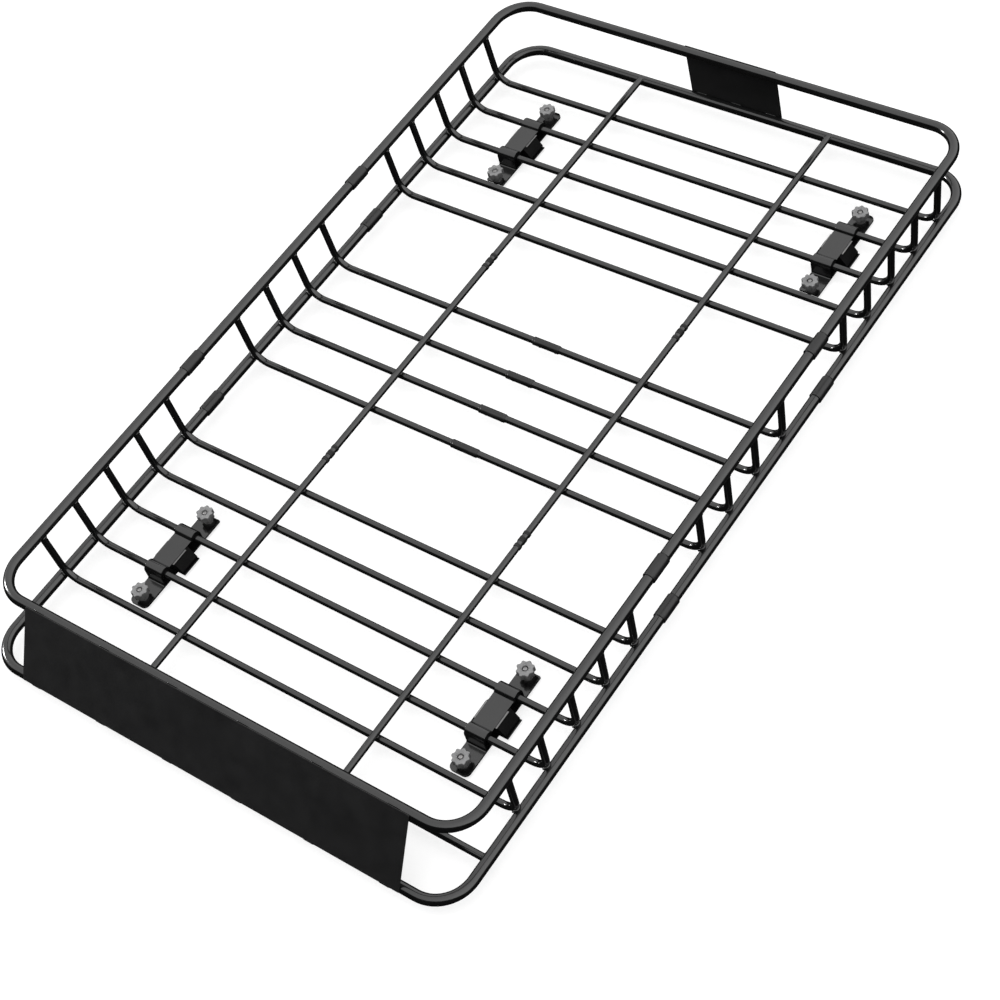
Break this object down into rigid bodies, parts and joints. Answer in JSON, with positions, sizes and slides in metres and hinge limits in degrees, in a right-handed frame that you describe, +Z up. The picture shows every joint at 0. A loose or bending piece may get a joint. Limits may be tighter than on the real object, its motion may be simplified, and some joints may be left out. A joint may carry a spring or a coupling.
{
  "type": "roof cargo basket",
  "caption": "Open tube basket for a vehicle roof with raised rails, a bent front fairing and sliding bolt-down clamps that grip a roof rack's crossbars.",
  "frame": {"origin": "middle of the basket on the lower ring's centre-line plane: halfway between its side rails and halfway between its front and rear tubes", "axes": "+X towards the basket's left side, -Y towards its front (the fairing end), +Z up"},
  "size_m": [0.9942, 1.639, 0.1551],
  "materials": {
    "powder_coat": "semi-gloss black powder coat",
    "plate_coat": "matt black powder coat",
    "sleeve_coat": "textured black powder coat",
    "cap_plastic": "matt black plastic",
    "black_screws": "black oxide steel",
    "saddle_rubber": "matt black rubber",
    "zinc_plated_steel": "dull zinc plating",
    "knob_plastic": "grained dark grey moulded plastic"
  },
  "bodies": {
    "basket": {"front_fairing": "plate_coat", "rear_plate": "plate_coat", "upper_rail_front": "powder_coat", "upper_rail_mid_left": "powder_coat", "upper_rail_mid_right": "powder_coat", "upper_rail_rear": "powder_coat", "lower_rail_front": "powder_coat", "lower_rail_mid_left": "powder_coat", "lower_rail_mid_right": "powder_coat", "lower_rail_rear": "powder_coat", "rail_couplers": "sleeve_coat", "front_crossbars": "powder_coat", "mid_crossbars_left": "powder_coat", "mid_crossbars_right": "powder_coat", "rear_crossbars": "powder_coat", "crossbar_sleeves": "sleeve_coat", "front_tie_bar": "powder_coat", "front_floor_rods": "powder_coat", "mid_floor_rods": "powder_coat", "rear_floor_rods": "powder_coat", "rod_end_caps": "cap_plastic", "joint_screws": "black_screws"},
    "clamp_fl": {"clamp_bracket_fl": "powder_coat", "hump_liners_fl": "saddle_rubber", "saddle_plate_fl": "zinc_plated_steel", "rubber_saddle_fl": "saddle_rubber", "knob_washers_fl": "zinc_plated_steel"},
    "grip_fl": {"lower_plate_fl": "powder_coat", "carriage_bolts_fl": "zinc_plated_steel"},
    "knob_fl_front": {"knob_fl_front": "knob_plastic", "knob_insert_fl_front": "zinc_plated_steel"},
    "knob_fl_rear": {"knob_fl_rear": "knob_plastic", "knob_insert_fl_rear": "zinc_plated_steel"},
    "clamp_fr": {"clamp_bracket_fr": "powder_coat", "hump_liners_fr": "saddle_rubber", "saddle_plate_fr": "zinc_plated_steel", "rubber_saddle_fr": "saddle_rubber", "knob_washers_fr": "zinc_plated_steel"},
    "grip_fr": {"lower_plate_fr": "powder_coat", "carriage_bolts_fr": "zinc_plated_steel"},
    "knob_fr_front": {"knob_fr_front": "knob_plastic", "knob_insert_fr_front": "zinc_plated_steel"},
    "knob_fr_rear": {"knob_fr_rear": "knob_plastic", "knob_insert_fr_rear": "zinc_plated_steel"},
    "clamp_rl": {"clamp_bracket_rl": "powder_coat", "hump_liners_rl": "saddle_rubber", "saddle_plate_rl": "zinc_plated_steel", "rubber_saddle_rl": "saddle_rubber", "knob_washers_rl": "zinc_plated_steel"},
    "grip_rl": {"lower_plate_rl": "powder_coat", "carriage_bolts_rl": "zinc_plated_steel"},
    "knob_rl_front": {"knob_rl_front": "knob_plastic", "knob_insert_rl_front": "zinc_plated_steel"},
    "knob_rl_rear": {"knob_rl_rear": "knob_plastic", "knob_insert_rl_rear": "zinc_plated_steel"},
    "clamp_rr": {"clamp_bracket_rr": "powder_coat", "hump_liners_rr": "saddle_rubber", "saddle_plate_rr": "zinc_plated_steel", "rubber_saddle_rr": "saddle_rubber", "knob_washers_rr": "zinc_plated_steel"},
    "grip_rr": {"lower_plate_rr": "powder_coat", "carriage_bolts_rr": "zinc_plated_steel"},
    "knob_rr_front": {"knob_rr_front": "knob_plastic", "knob_insert_rr_front": "zinc_plated_steel"},
    "knob_rr_rear": {"knob_rr_rear": "knob_plastic", "knob_insert_rr_rear": "zinc_plated_steel"}
  },
  "joints": [
    {"name": "clamp_fl_slide", "type": "slide", "parent": "basket", "child": "clamp_fl", "axis": [1, 0, 0], "range_m": [-0.112, 0.074]},
    {"name": "knob_fl_front_turn", "type": "hinge", "parent": "clamp_fl", "child": "knob_fl_front", "pos_m": [0.346, -0.58485, -0.012], "axis": [0, 0, 1], "range_deg": [0, 4320]},
    {"name": "knob_fl_rear_turn", "type": "hinge", "parent": "clamp_fl", "child": "knob_fl_rear", "pos_m": [0.346, -0.40585, -0.012], "axis": [0, 0, 1], "range_deg": [0, 4320]},
    {"name": "grip_fl_travel", "type": "slide", "parent": "clamp_fl", "child": "grip_fl", "axis": [0, 0, -1], "range_m": [0, 0.015]},
    {"name": "clamp_fr_slide", "type": "slide", "parent": "basket", "child": "clamp_fr", "axis": [1, 0, 0], "range_m": [-0.083, 0.105]},
    {"name": "knob_fr_front_turn", "type": "hinge", "parent": "clamp_fr", "child": "knob_fr_front", "pos_m": [-0.338, -0.58485, -0.012], "axis": [0, 0, 1], "range_deg": [0, 4320]},
    {"name": "knob_fr_rear_turn", "type": "hinge", "parent": "clamp_fr", "child": "knob_fr_rear", "pos_m": [-0.338, -0.40585, -0.012], "axis": [0, 0, 1], "range_deg": [0, 4320]},
    {"name": "grip_fr_travel", "type": "slide", "parent": "clamp_fr", "child": "grip_fr", "axis": [0, 0, -1], "range_m": [0, 0.015]},
    {"name": "clamp_rl_slide", "type": "slide", "parent": "basket", "child": "clamp_rl", "axis": [1, 0, 0], "range_m": [-0.112, 0.074]},
    {"name": "knob_rl_front_turn", "type": "hinge", "parent": "clamp_rl", "child": "knob_rl_front", "pos_m": [0.346, 0.48905, -0.012], "axis": [0, 0, 1], "range_deg": [0, 4320]},
    {"name": "knob_rl_rear_turn", "type": "hinge", "parent": "clamp_rl", "child": "knob_rl_rear", "pos_m": [0.346, 0.66805, -0.012], "axis": [0, 0, 1], "range_deg": [0, 4320]},
    {"name": "grip_rl_travel", "type": "slide", "parent": "clamp_rl", "child": "grip_rl", "axis": [0, 0, -1], "range_m": [0, 0.015]},
    {"name": "clamp_rr_slide", "type": "slide", "parent": "basket", "child": "clamp_rr", "axis": [1, 0, 0], "range_m": [-0.083, 0.105]},
    {"name": "knob_rr_front_turn", "type": "hinge", "parent": "clamp_rr", "child": "knob_rr_front", "pos_m": [-0.338, 0.48905, -0.012], "axis": [0, 0, 1], "range_deg": [0, 4320]},
    {"name": "knob_rr_rear_turn", "type": "hinge", "parent": "clamp_rr", "child": "knob_rr_rear", "pos_m": [-0.338, 0.66805, -0.012], "axis": [0, 0, 1], "range_deg": [0, 4320]},
    {"name": "grip_rr_travel", "type": "slide", "parent": "clamp_rr", "child": "grip_rr", "axis": [0, 0, -1], "range_m": [0, 0.015]}
  ],
  "couplings": [
    {"joint": "knob_fl_rear_turn", "follows": "knob_fl_front_turn", "ratio": 1},
    {"joint": "grip_fl_travel", "follows": "knob_fl_front_turn", "m_per_rad": 0.00019894},
    {"joint": "knob_fr_rear_turn", "follows": "knob_fr_front_turn", "ratio": 1},
    {"joint": "grip_fr_travel", "follows": "knob_fr_front_turn", "m_per_rad": 0.00019894},
    {"joint": "knob_rl_rear_turn", "follows": "knob_rl_front_turn", "ratio": 1},
    {"joint": "grip_rl_travel", "follows": "knob_rl_front_turn", "m_per_rad": 0.00019894},
    {"joint": "knob_rr_rear_turn", "follows": "knob_rr_front_turn", "ratio": 1},
    {"joint": "grip_rr_travel", "follows": "knob_rr_front_turn", "m_per_rad": 0.00019894}
  ]
}
